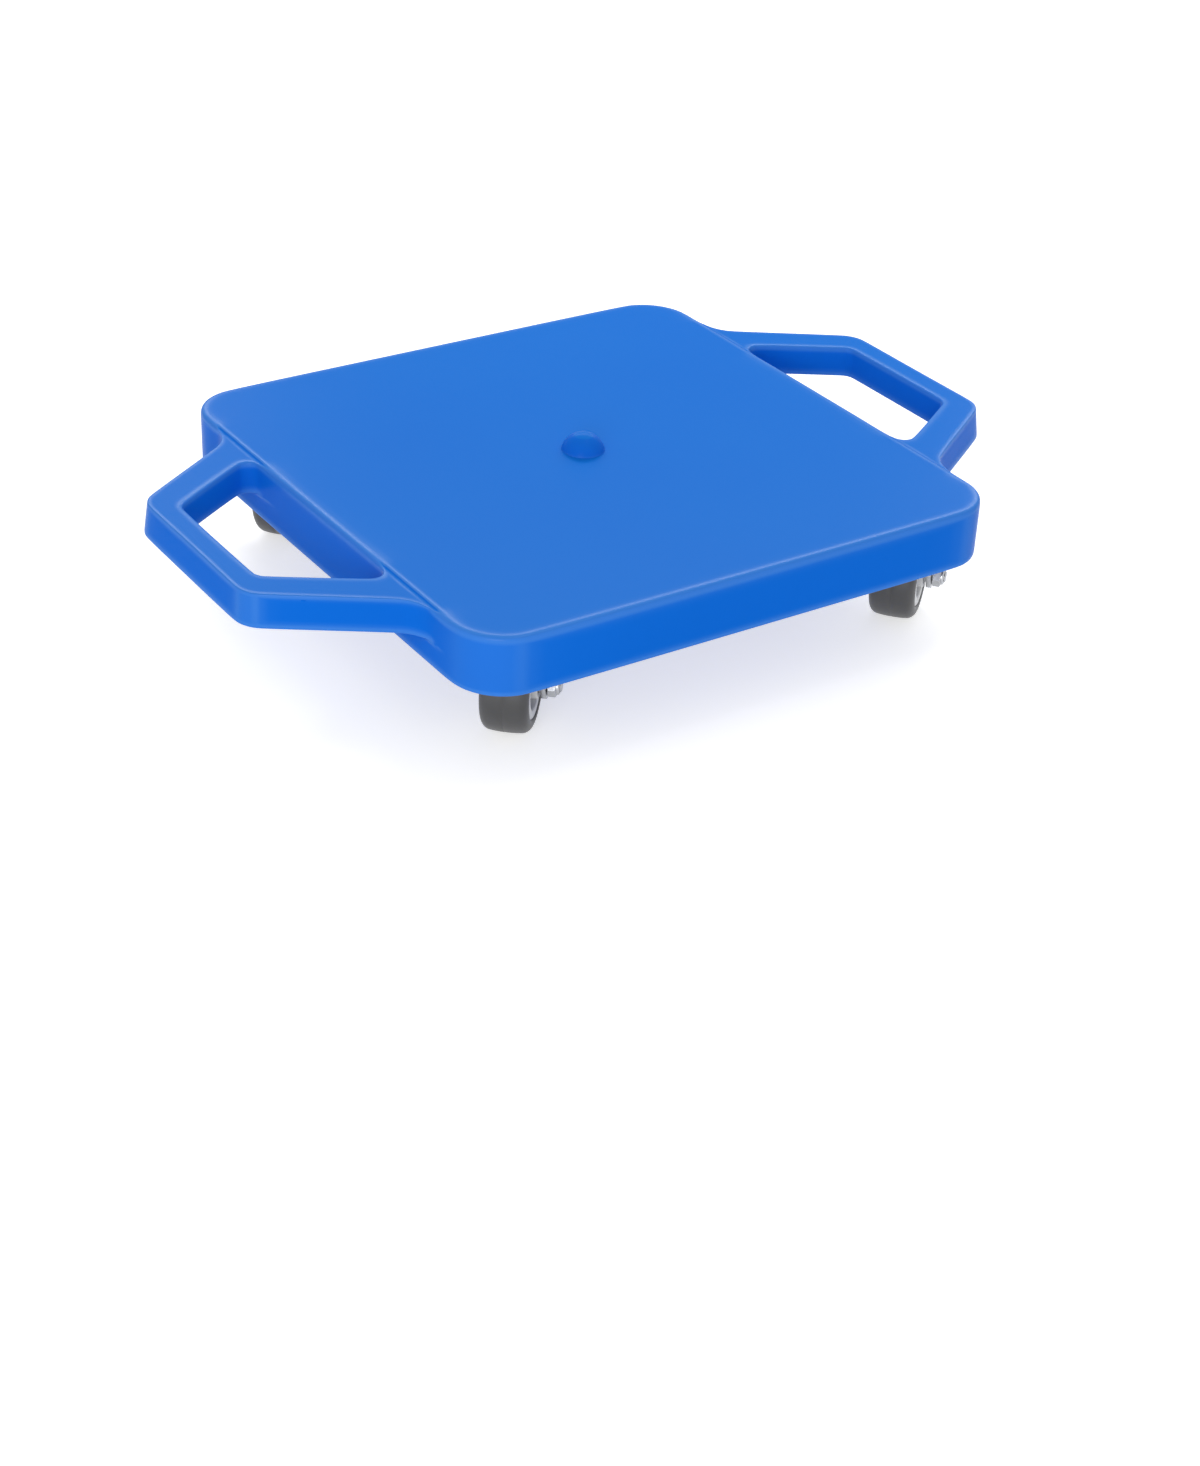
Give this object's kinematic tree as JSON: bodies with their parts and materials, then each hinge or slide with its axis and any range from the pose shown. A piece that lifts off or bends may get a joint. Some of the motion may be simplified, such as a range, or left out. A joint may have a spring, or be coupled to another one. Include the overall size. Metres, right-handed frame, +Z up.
{
  "type": "scooter board",
  "caption": "Square moulded plastic board with rounded corners, a handle loop on each side and swivel casters underneath, for rolling along while sitting or kneeling on it.",
  "frame": {"origin": "on the floor under the middle of the board", "axes": "+X from the left handle to the right handle, -Y towards the front, +Z up"},
  "size_m": [0.445, 0.305, 0.087],
  "materials": {
    "deck_plastic": "smooth semi-gloss blue moulded plastic",
    "tyre_rubber": "smooth dark grey tread",
    "hub_plastic": "light grey moulded nylon",
    "zinc_steel": "bright zinc plated",
    "screw_steel": "zinc plated"
  },
  "bodies": {
    "board": {"deck_board": "deck_plastic", "mounting_plate_front_left": "zinc_steel", "kingpin_front_left": "zinc_steel", "bearing_ring_front_left": "screw_steel", "plate_screw_front_left_1": "screw_steel", "plate_screw_front_left_2": "screw_steel", "plate_screw_front_left_3": "screw_steel", "plate_screw_front_left_4": "screw_steel", "mounting_plate_front_right": "zinc_steel", "kingpin_front_right": "zinc_steel", "bearing_ring_front_right": "screw_steel", "plate_screw_front_right_1": "screw_steel", "plate_screw_front_right_2": "screw_steel", "plate_screw_front_right_3": "screw_steel", "plate_screw_front_right_4": "screw_steel", "mounting_plate_back_left": "zinc_steel", "kingpin_back_left": "zinc_steel", "bearing_ring_back_left": "screw_steel", "plate_screw_back_left_1": "screw_steel", "plate_screw_back_left_2": "screw_steel", "plate_screw_back_left_3": "screw_steel", "plate_screw_back_left_4": "screw_steel", "mounting_plate_back_right": "zinc_steel", "kingpin_back_right": "zinc_steel", "bearing_ring_back_right": "screw_steel", "plate_screw_back_right_1": "screw_steel", "plate_screw_back_right_2": "screw_steel", "plate_screw_back_right_3": "screw_steel", "plate_screw_back_right_4": "screw_steel"},
    "swivel_front_left": {"fork_front_left": "zinc_steel", "axle_bolt_front_left": "zinc_steel", "axle_nut_front_left": "zinc_steel", "axle_sleeve_front_left": "zinc_steel"},
    "wheel_front_left": {"wheel_hub_front_left": "hub_plastic", "wheel_tyre_front_left": "tyre_rubber"},
    "swivel_front_right": {"fork_front_right": "zinc_steel", "axle_bolt_front_right": "zinc_steel", "axle_nut_front_right": "zinc_steel", "axle_sleeve_front_right": "zinc_steel"},
    "wheel_front_right": {"wheel_hub_front_right": "hub_plastic", "wheel_tyre_front_right": "tyre_rubber"},
    "swivel_back_left": {"fork_back_left": "zinc_steel", "axle_bolt_back_left": "zinc_steel", "axle_nut_back_left": "zinc_steel", "axle_sleeve_back_left": "zinc_steel"},
    "wheel_back_left": {"wheel_hub_back_left": "hub_plastic", "wheel_tyre_back_left": "tyre_rubber"},
    "swivel_back_right": {"fork_back_right": "zinc_steel", "axle_bolt_back_right": "zinc_steel", "axle_nut_back_right": "zinc_steel", "axle_sleeve_back_right": "zinc_steel"},
    "wheel_back_right": {"wheel_hub_back_right": "hub_plastic", "wheel_tyre_back_right": "tyre_rubber"}
  },
  "joints": [
    {"name": "front_left_swivel", "type": "hinge", "parent": "board", "child": "swivel_front_left", "pos_m": [-0.117, -0.117, 0.0555], "axis": [0, 0, 1], "continuous": true},
    {"name": "front_left_wheel_spin", "type": "hinge", "parent": "swivel_front_left", "child": "wheel_front_left", "pos_m": [-0.10609, -0.1053, 0.025], "axis": [0.7314, -0.682, 0], "continuous": true},
    {"name": "front_right_swivel", "type": "hinge", "parent": "board", "child": "swivel_front_right", "pos_m": [0.117, -0.117, 0.0555], "axis": [0, 0, 1], "continuous": true},
    {"name": "front_right_wheel_spin", "type": "hinge", "parent": "swivel_front_right", "child": "wheel_front_right", "pos_m": [0.12926, -0.10672, 0.025], "axis": [0.6428, -0.766, 0], "continuous": true},
    {"name": "back_left_swivel", "type": "hinge", "parent": "board", "child": "swivel_back_left", "pos_m": [-0.117, 0.117, 0.0555], "axis": [0, 0, 1], "continuous": true},
    {"name": "back_left_wheel_spin", "type": "hinge", "parent": "swivel_back_left", "child": "wheel_back_left", "pos_m": [-0.1053, 0.12791, 0.025], "axis": [0.682, -0.7314, 0], "continuous": true},
    {"name": "back_right_swivel", "type": "hinge", "parent": "board", "child": "swivel_back_right", "pos_m": [0.117, 0.117, 0.0555], "axis": [0, 0, 1], "continuous": true},
    {"name": "back_right_wheel_spin", "type": "hinge", "parent": "swivel_back_right", "child": "wheel_back_right", "pos_m": [0.12851, 0.12812, 0.025], "axis": [0.6947, -0.7193, 0], "continuous": true}
  ]
}
